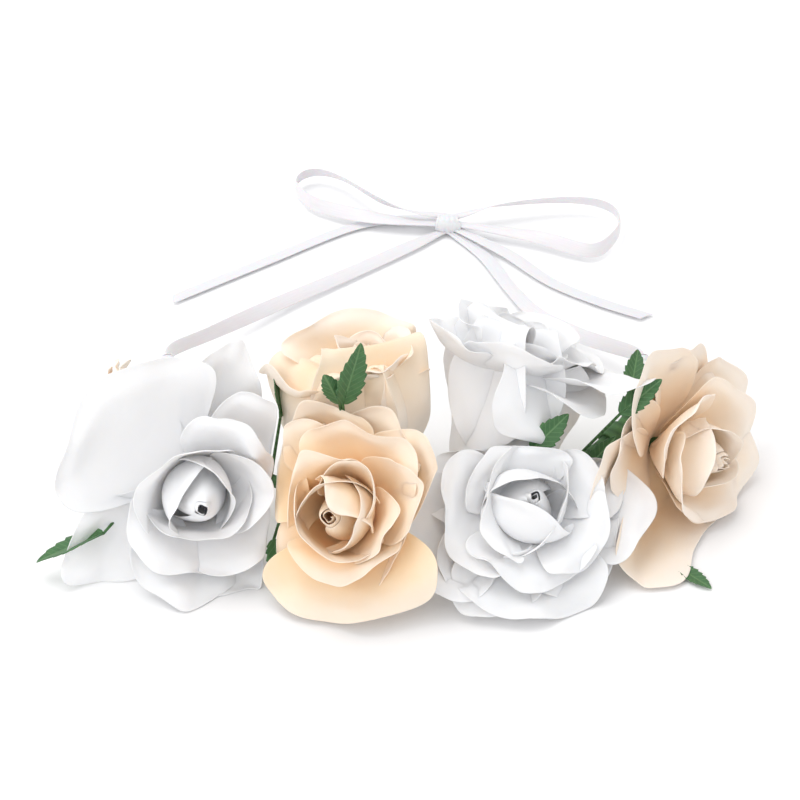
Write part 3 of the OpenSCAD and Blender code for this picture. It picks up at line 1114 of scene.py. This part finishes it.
@dataclass
class LeafSprigs:
    """The nine leaf sprigs: blades on thin stalks that run down to the band."""

    cloth: float = 0.35
    stalk_r: float = 0.6
    low: float = 2.0  # a blade whose foot is under this lies on the table
    sprigs: dict[str, tuple[float, list[Blade]]] = field(
        default_factory=lambda: {
            "leaf_far_left": (214, [Blade((-102.4, -110.0, 18.5), (-126.2, -112.0, 7.5), 10, 0.5, 0.42)]),
            "leaf_top_fork": (
                258.5,
                [
                    Blade((-21, -94.5, 62), (-14.5, -92.5, 85), 90, 1.0, 0.42),
                    Blade((-22, -94.5, 62), (-27, -95, 75), 90, 0.6, 0.5),
                ],
            ),
            "leaf_back_left": (239, [Blade((-43, -79, 44), (-44.5, -72, 59), 60)]),
            "leaf_centre": (306.4, [Blade((43, -88, 37), (55, -85, 50), 55, 0.8, 0.5)]),
            "leaf_right_long": (308, [Blade((73, -81, 47), (87, -75, 57.5), 35)]),
            "leaf_right_short": (313, [Blade((63, -80, 22), (73, -76, 33), 50)]),
            "leaf_right_end": (334, [Blade((81, -42, 25), (85, -26, 34), 20)]),
            "leaf_low_right": (318, [Blade((94, -108, 0.8), (104, -118.5, 1.0), 0, 0.2)]),
            "leaf_low_front": (244, [Blade((-45, -108, 14), (-41, -124, 5), 0, 0.4)]),
        }
    )

    def stalk(self, name: str, angle: float, blade: Blade) -> Object:
        """Makes one stalk: a short cylinder on the band, extruded up to the blade's foot.

        Args:
            name: the stalk's name.
            angle: where it leaves the band, in degrees round the ring.
            blade: the blade that it carries.

        Returns:
            The stalk.
        """
        turn = math.radians(angle)
        middle = Vector((RING_R * math.cos(turn), RING_R * math.sin(turn), BAND_Z))
        foot, tip = Vector(blade.foot), Vector(blade.tip)
        ahead = (foot - middle).normalized()
        start = middle + ahead * (TAPE_R - 0.2)
        first = start + ahead * 1.5
        deselect()
        bpy.ops.mesh.primitive_cylinder_add(
            vertices=10,
            radius=self.stalk_r * MM,
            depth=(first - start).length * MM,
            location=(start + first) / 2 * MM,
            rotation=ahead.to_track_quat("Z", "Y").to_euler(),
        )
        made = bpy.context.object
        made.name = name
        bpy.ops.object.mode_set(mode="EDIT")
        bpy.ops.mesh.select_all(action="DESELECT")
        bpy.ops.object.mode_set(mode="OBJECT")
        end_face = max(made.data.polygons, key=lambda f: (made.matrix_world @ f.center - start * MM).length)
        end_face.select = True
        bpy.ops.object.mode_set(mode="EDIT")
        bpy.ops.mesh.select_mode(type="FACE")
        here, leap = first, foot + (tip - foot) * 0.22
        stops = [(foot, 0.85), (leap, 0.5)]
        if foot.z < self.low:  # a stalk to a leaf on the table drops first, then runs along the table
            drop = middle.lerp(foot, 0.3)
            stops.insert(0, (Vector((drop.x, drop.y, self.stalk_r + 0.1)), 1.0))
        for stop, share in stops:
            bpy.ops.mesh.extrude_region_move(TRANSFORM_OT_translate={"value": (stop - here) * MM})
            bpy.ops.transform.resize(value=(share, share, share), center_override=stop * MM)
            here = stop
        bpy.ops.object.mode_set(mode="OBJECT")
        bpy.ops.object.transform_apply(location=True, rotation=True, scale=True)
        bpy.ops.object.shade_smooth()
        return made

    def build(self, stock: GridStock, leaf: Material, stem: Material) -> None:
        """Makes every sprig.

        Args:
            stock: where the grids come from.
            leaf: the leaf cloth.
            stem: the stalks' wrap.
        """
        for name, (angle, blades) in self.sprigs.items():
            made, stalks, area = [], [], 0.0
            for i, blade in enumerate(blades):
                blank, grid = stock.copy(*BLADE_GRID)
                points, cut, reach = blade.shape(grid)
                area += lay(blank, FLOOR.hold(points, 0.3), cut, reach)
                made.append(blank)
                stalks.append(self.stalk(f"{name}_stalk{i}", angle, blade))
            piece = sew(made, f"{name}_blade", leaf, self.cloth, 0)
            stalk = join(stalks, f"{name}_stalk")
            dress(stalk, stem)
            place(stalk, "band", "stem_wrap")
            place(piece, "band", "leaf_cloth", name)


# ---------------------------------------------------------------- ribbon


@dataclass
class Strand:
    """One ribbon from its tie at an end loop: lead, bow loop and tail in one length.

    A row of the route is x, y, z, the lean from flat in degrees and the share of the full width.
    """

    name: str
    route: list[tuple[float, float, float, float, float]]
    width: float = 6.0
    cloth: float = 0.3
    steps: int = 10

    def rows(self) -> np.ndarray:
        """Runs the smooth route."""
        return spread_route(self.route, self.steps)

    def build(self, stock: GridStock, satin: Material, knot: list[Object]) -> None:
        """Makes the ribbon along its route.

        Args:
            stock: where the grids come from.
            satin: the ribbon's finish.
            knot: the knot, if it goes with this ribbon; not used.
        """
        rows = self.rows()
        places = rows[:, :3]
        ahead = np.gradient(places, axis=0)
        ahead /= np.linalg.norm(ahead, axis=1)[:, None]
        level = np.cross([0, 0, 1.0], ahead)
        level /= np.linalg.norm(level, axis=1)[:, None]
        over = np.cross(ahead, level)
        lean = np.radians(rows[:, 3])[:, None]
        wide = np.cos(lean) * level + np.sin(lean) * over
        thick = np.cross(ahead, wide)
        along = np.concatenate([[0], np.cumsum(np.linalg.norm(np.diff(places, axis=0), axis=1))])
        blank, grid = stock.copy(6, len(rows) - 1)
        index = np.rint((grid[:, 1] + 1) / 2 * (len(rows) - 1)).astype(int)
        side = grid[:, 0] * self.width / 2 * rows[index, 4]
        pinch = (1 - rows[index, 4])[:, None]
        bow = 0.35 * (1 - grid[:, 0] ** 2)[:, None] + 1.2 * pinch * np.cos(3 * np.pi * grid[:, 0])[:, None]
        slant = np.clip((along[index] - along[-1] + 6) / 6, 0, 1) * grid[:, 0] * 1.6
        points = places[index] + side[:, None] * wide[index] + bow * thick[index]
        points += slant[:, None] * ahead[index]
        cut = np.column_stack([grid[:, 0] * self.width / 2, along[index]])
        lay(blank, FLOOR.hold(points, 0.25), cut, np.abs(grid[:, 0]))
        piece = sew([blank], f"{self.name}_satin", satin, self.cloth)
        place(piece, "ribbon_tie", "ribbon_satin", self.name)


@dataclass
class RibbonTie:
    """The two ribbons, the bow's knot and the small ties on the band's end loops."""

    knot_at: tuple[float, float, float] = (18.0, 101.0, 4.6)
    knot_half: float = 4.4
    knot_r: float = 3.7
    eyelet_x: float = 89.1
    tie_y: float = -14.0

    def strands(self) -> list[Strand]:
        """Lists the two ribbons and their routes."""
        left = [
            (-89, -9.5, 16, 60, 0.6), (-88, 1, 13.5, 70, 0.9), (-75, 16, 10, 75, 1), (-50, 43, 5, 35, 1),
            (-22, 67, 3, 20, 1), (2, 87, 2.4, 10, 1), (14.5, 97.5, 2.2, 0, 0.6), (19.5, 99.5, 3, 0, 0.5),
            (20.5, 101.5, 5, 0, 0.5), (18, 103, 6.8, 0, 0.5), (14, 103.5, 7.2, 0, 0.6), (2, 105, 8, 30, 1),
            (-11, 113, 8.5, 60, 1), (-26, 131, 7, 55, 1), (-36, 137.5, 6.5, 62, 1), (-43.5, 136, 6, 74, 1),
            (-46.5, 129, 5.5, 84, 1), (-43, 121, 5, 80, 1), (-35, 113, 5, 60, 1), (-12, 104, 5.2, 20, 1),
            (13, 100, 5.2, 0, 0.6), (18, 99.6, 5.2, 0, 0.5), (20.6, 101.6, 4.6, 0, 0.5), (18, 104, 4, 0, 0.5),
            (13.5, 105, 3.4, 0, 0.6), (2, 108, 2.2, 0, 1), (-22, 103, 1.2, 5, 1), (-58, 77, 1.2, 5, 1),
            (-93, 51, 1.2, 5, 1),
        ]
        right = [
            (89, -9.5, 16, -60, 0.6), (86, -1, 13.5, -60, 0.9), (68, 17, 8, -45, 1), (52, 37, 4, -20, 1),
            (42, 59, 1.8, 0, 1), (33, 81, 1.2, 0, 1), (21.5, 96, 1.6, 0, 0.6), (17, 99.5, 3, 0, 0.5),
            (15.6, 101.5, 5, 0, 0.5), (18, 103, 6.6, 0, 0.5), (22.5, 103.2, 7, 0, 0.6),
            (38, 108, 8.5, -40, 1), (60, 113, 8, -55, 1), (76, 113.5, 7.5, -64, 1),
            (86, 109.5, 6.8, -74, 1), (89.5, 101, 6, -84, 1),
            (86.5, 90, 5, -80, 1), (76, 80, 5, -60, 1), (54, 90, 5.2, -30, 1), (24, 99.2, 5.2, 0, 0.6),
            (18, 100.6, 5.2, 0, 0.5), (15.4, 101, 4.6, 0, 0.5), (17.5, 99.6, 4, 0, 0.5),
            (22, 98.3, 3.4, 0, 0.6), (42, 82, 2.2, 0, 1), (59, 63, 1.2, -5, 1), (78, 49, 1.2, -5, 1),
            (96, 39, 1.2, -5, 1),
        ]
        return [Strand("ribbon_left", left), Strand("ribbon_right", right)]

    def knot(self, stock: GridStock, satin: Material) -> Object:
        """Makes the knot: the ribbon wrapped round the crossing, pinched into pleats.

        Args:
            stock: where the grids come from.
            satin: the ribbon's finish.

        Returns:
            The knot.
        """
        blank, grid = stock.copy(12, 60)
        across, along = grid[:, 0], (grid[:, 1] + 1) / 2
        angle = math.radians(250) - along * math.radians(470)
        pleat = 0.28 * np.sin(4.2 * math.pi * across + 3 * along) * smooth(along / 0.15)
        pleat = pleat * smooth((1 - along) / 0.15)
        radius = (self.knot_r - 0.5 + 0.9 * along) * (1 - 0.16 * across**2) + pleat
        x = self.knot_at[0] + across * self.knot_half * (1 - 0.12 * np.cos(angle)) + 1.2 * (along - 0.5)
        y = self.knot_at[1] + radius * np.cos(angle) * 1.05
        z = self.knot_at[2] + radius * np.sin(angle) * 0.95
        cut = np.column_stack([across * 3, along * 2 * math.pi * self.knot_r * 470 / 360])
        area = lay(blank, FLOOR.hold(np.column_stack([x, y, z]), 0.2), cut, np.abs(across))
        piece = sew([blank], "bow_knot_satin", satin, 0.35)
        place(piece, "ribbon_tie", "ribbon_satin", "bow_knot")
        return piece

    def eyelet_ties(self, stock: GridStock, satin: Material) -> None:
        """Makes the tie on each end loop: a turn of ribbon round the wire, drawn into a small knot.

        Args:
            stock: where the grids come from.
            satin: the ribbon's finish.
        """
        made = []
        for side in (-1, 1):
            blank, grid = stock.copy(6, 40)
            across, along = grid[:, 0], (grid[:, 1] + 1) / 2
            angle = along * 2 * math.pi
            fat = 1 + 0.25 * np.cos(angle)
            x = side * self.eyelet_x + across * 1.5 * fat + 0.2 * np.sin(3 * angle)
            y = self.tie_y + 2.5 * np.cos(angle)
            z = BAND_Z + 2.5 * np.sin(angle) + 0.15 * np.sin(6 * across)
            cut = np.column_stack([across * 3, along * 2 * math.pi * 2.5])
            lay(blank, np.column_stack([x, y, z]), cut, np.abs(across))
            made.append(blank)
            blank, grid = stock.copy(10, 40)
            across, along = grid[:, 0], (grid[:, 1] + 1) / 2
            angle = along * math.radians(430)
            round_off = np.sqrt(np.maximum(1 - (0.82 * across) ** 2, 0.05))
            radius = (1.9 + 0.5 * along) * round_off + 0.16 * np.sin(9 * across + 2 * angle)
            y = self.tie_y + 4.9 + radius * np.cos(angle)
            x = side * self.eyelet_x + across * 2.2
            z = BAND_Z + radius * np.sin(angle)
            cut = np.column_stack([across * 3, along * 15])
            lay(blank, np.column_stack([x, y, z]), cut, np.abs(across))
            made.append(blank)
        piece = sew(made, "eyelet_ties_satin", satin, 0.3)
        place(piece, "ribbon_tie", "ribbon_satin", "eyelet_ties")

    def build(self, stock: GridStock, satin: Material) -> None:
        """Makes the knot, the ribbons and the ties.

        Args:
            stock: where the grids come from.
            satin: the ribbon's finish.
        """
        knot = self.knot(stock, satin)
        left, right = self.strands()
        left.build(stock, satin, [knot])
        right.build(stock, satin, [])
        self.eyelet_ties(stock, satin)


# ---------------------------------------------------------------- band and studio


@dataclass
class Band:
    """The wire half ring, its tape, the stem wraps and the calyxes, which stay as they are made in CAD."""

    stem_nodes: tuple[str, ...] = ()
    calyx_nodes: tuple[str, ...] = ()

    def dress(self, nodes: dict[str, Object], tape: Material, stem: Material) -> None:
        """Gives each CAD node that stays its finish.

        Args:
            nodes: the CAD nodes by name.
            tape: the crepe tape round the band.
            stem: the crepe tape on stems.
        """
        wire = HardGreen("wire_green_lacquer", "#7d8f76", "#5c6b56", 0.3, 3.0).material()
        calyx = HardGreen("calyx_moulded_polyethylene", "#4d7a45", "#36582f", 0.35, 2.0).material()
        finishes = {"band_wire": wire, "band_tape": tape, "stem_bindings": tape}
        finishes |= {name: stem for name in self.stem_nodes}
        finishes |= {name: calyx for name in self.calyx_nodes}
        for name, material in finishes.items():
            dress(nodes[name], material)
            LOG.info("%s is %s", name, material.name)


@dataclass
class Studio:
    """A pale floor, soft light from all round and the camera."""

    aim: tuple[float, float, float] = (-2, -45, 25)
    elevation: float = 38.0
    distance: float = 800.0
    lens: float = 100.0

    def camera(self) -> None:
        """Sets the camera at its angle."""
        data = bpy.data.cameras.new("studio_camera")
        data.lens = self.lens
        data.sensor_width = 36
        data.clip_start = 0.01
        made = bpy.data.objects.new("studio_camera", data)
        bpy.context.scene.collection.objects.link(made)
        angle = math.radians(self.elevation)
        back = Vector((0, -math.cos(angle), math.sin(angle)))
        made.location = (Vector(self.aim) + back * self.distance) * MM
        made.rotation_euler = (math.pi / 2 - angle, 0, 0)
        bpy.context.scene.camera = made

    def lamp(self, name: str, place_at: tuple[float, float, float], size: float, watts: float) -> None:
        """Adds one soft square lamp aimed at the crown.

        Args:
            name: the lamp's name.
            place_at: where it hangs, in metres.
            size: the length of its side, in metres.
            watts: its power.
        """
        data = bpy.data.lights.new(name, "AREA")
        data.size = size
        data.energy = watts
        made = bpy.data.objects.new(name, data)
        made.location = place_at
        aim = Vector(self.aim) * MM - made.location
        made.rotation_euler = aim.to_track_quat("-Z", "Y").to_euler()
        bpy.context.scene.collection.objects.link(made)

    def floor(self) -> None:
        """Lays the floor, a wide board just under the crown."""
        deselect()
        bpy.ops.mesh.primitive_plane_add(size=8)
        made = bpy.context.object
        made.name = "floor"
        bpy.ops.object.mode_set(mode="EDIT")
        bpy.ops.mesh.subdivide(number_cuts=3)
        bpy.ops.object.mode_set(mode="OBJECT")
        dress(made, PaleFloor().material())

    def light(self) -> None:
        """Lights the room evenly, with a broad lamp above and one at the left front."""
        world = bpy.data.worlds.new("studio_air")
        world.use_nodes = True
        world.node_tree.nodes["Background"].inputs["Color"].default_value = linear("#ffffff")
        world.node_tree.nodes["Background"].inputs["Strength"].default_value = 0.88
        bpy.context.scene.world = world
        bpy.context.scene.view_settings.view_transform = "Standard"
        self.lamp("lamp_above", (-0.3, 0.1, 1.3), 0.9, 6)
        self.lamp("lamp_left_front", (-0.9, -0.9, 0.9), 0.7, 4)

    def build(self) -> None:
        """Lays the floor and lights it."""
        self.floor()
        self.light()


def main() -> None:
    """Loads the frame and builds the crown on it, piece by piece."""
    logging.basicConfig(level=logging.INFO, format="%(message)s")
    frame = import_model()
    studio = Studio()
    studio.camera()
    stock = GridStock()
    RibbonTie().build(stock, SatinRibbon().material())
    cloths = {dye: dye.value.material() for dye in Dye}
    roses = crown_roses()
    for rose in roses:
        rose.build(stock, cloths[rose.dye])
    tape = CrepeTape("floral_tape_waxed_crepe", "#4a7443", "#2f5230", True).material()
    stem = CrepeTape("stem_wrap_waxed_crepe", "#47703f", "#2c4d2b", False, 3.0).material()
    LeafSprigs().build(stock, LeafCloth().material(), stem)
    names = [rose.name for rose in roses]
    band = Band(tuple(f"{n}_stem" for n in names), tuple(f"{n}_calyx" for n in names))
    band.dress(frame["nodes"], tape, stem)
    stock.clear()
    studio.build()


if __name__ == "__main__":
    main()
